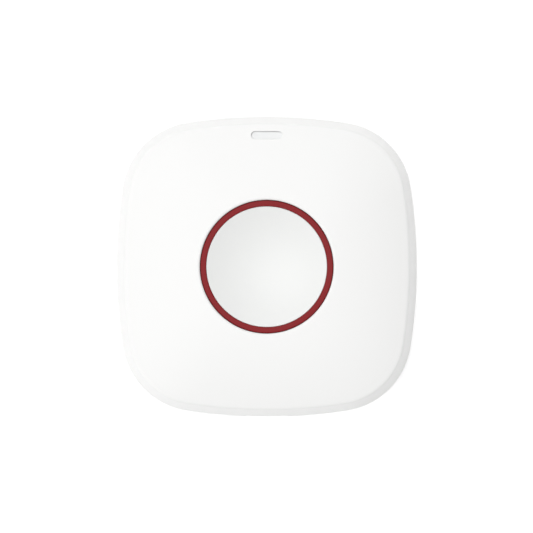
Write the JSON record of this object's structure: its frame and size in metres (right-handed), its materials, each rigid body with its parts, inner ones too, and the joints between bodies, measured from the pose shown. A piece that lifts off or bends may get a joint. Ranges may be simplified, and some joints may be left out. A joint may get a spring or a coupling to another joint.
{
  "type": "wireless panic button",
  "caption": "Rounded square alarm button with a red-ringed hollow push cap, a status window, a clip-on back and the switch, radio board and coin cell inside",
  "frame": {"origin": "centre of the flat back face", "axes": "+Z points out of the front along the push of the button, +Y points towards the status window, +X completes the right-handed frame"},
  "size_m": [0.065, 0.0649, 0.0198],
  "materials": {
    "case_white": "fine satin moulding",
    "dish_white": "fine matte moulding",
    "ring_red": "satin",
    "window_clear": "frosted clear",
    "frame_black": "moulded",
    "plunger_white": "moulded",
    "board_green": "solder mask over glass laminate",
    "bright_steel": "nickel plated",
    "soft_silicone": "moulded silicone"
  },
  "bodies": {
    "case": {"front_cover": "case_white", "rear_cover": "case_white", "guide_frame": "frame_black", "spring_plate": "bright_steel", "circuit_board": "board_green", "board_screws": "bright_steel", "panic_switch_body": "frame_black", "panic_switch_plate": "bright_steel", "status_led": "window_clear", "light_pipe": "window_clear", "radio_shield": "bright_steel", "antenna_strip": "bright_steel", "controller_chip": "frame_black", "crystal": "bright_steel", "buffer_capacitor": "frame_black", "chip_resistors": "frame_black", "coin_cell": "bright_steel", "battery_holder": "frame_black", "positive_contact": "bright_steel", "negative_contact": "bright_steel", "tamper_switch_body": "frame_black", "tamper_spring": "bright_steel"},
    "button": {"button_ring": "ring_red", "button_dish": "dish_white", "actuator_pad": "soft_silicone"},
    "switch_plunger": {"panic_switch_plunger": "plunger_white"},
    "tamper": {"tamper_pin": "frame_black", "tamper_switch_plunger": "plunger_white"}
  },
  "joints": [
    {"name": "button_press", "type": "slide", "parent": "case", "child": "button", "axis": [0, 0, -1], "range_m": [0, 0.0008], "stiffness_N_per_m": 2000, "springref_m": -0.0001, "deforming": ["spring_plate", "actuator_pad"]},
    {"name": "switch_plunger_travel", "type": "slide", "parent": "case", "child": "switch_plunger", "axis": [0, 0, -1], "range_m": [0, 0.00035]},
    {"name": "tamper_pin_travel", "type": "slide", "parent": "case", "child": "tamper", "axis": [0, 0, -1], "range_m": [0, 0.0012], "stiffness_N_per_m": 50, "springref_m": 0.002, "deforming": ["tamper_spring"]}
  ],
  "couplings": [
    {"joint": "switch_plunger_travel", "follows": "button_press", "ratio": 0.4375}
  ]
}
